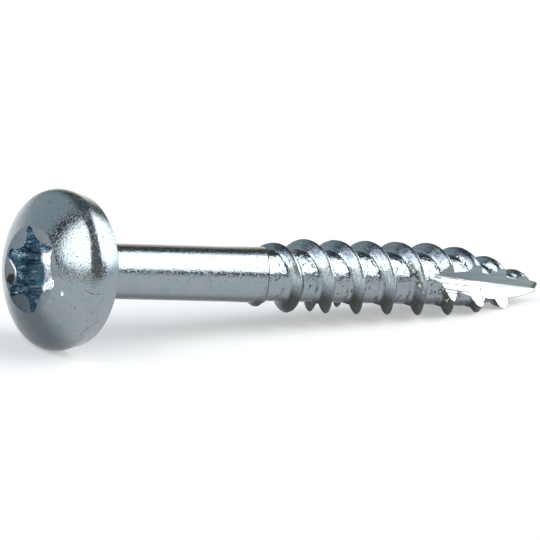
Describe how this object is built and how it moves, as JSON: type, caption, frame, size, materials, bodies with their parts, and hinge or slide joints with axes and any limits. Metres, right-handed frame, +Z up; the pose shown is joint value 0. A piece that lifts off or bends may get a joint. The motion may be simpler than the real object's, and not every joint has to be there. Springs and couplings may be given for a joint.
{
  "type": "multi-purpose screw",
  "caption": "Pan-head wood screw with a six-lobe drive, a smooth upper shank, a coarse right-hand thread and a notched cutting point, lying on its side.",
  "frame": {"origin": "on the floor under the middle of the bounding box", "axes": "+X from the head towards the tip, along the floor; +Z up; the screw's own axis drops towards the tip by 5.5 degrees"},
  "size_m": [0.0428, 0.0106, 0.0105],
  "materials": {
    "screw": "bright bluish zinc plate"
  },
  "bodies": {
    "root": {"screw": "screw"}
  },
  "joints": []
}
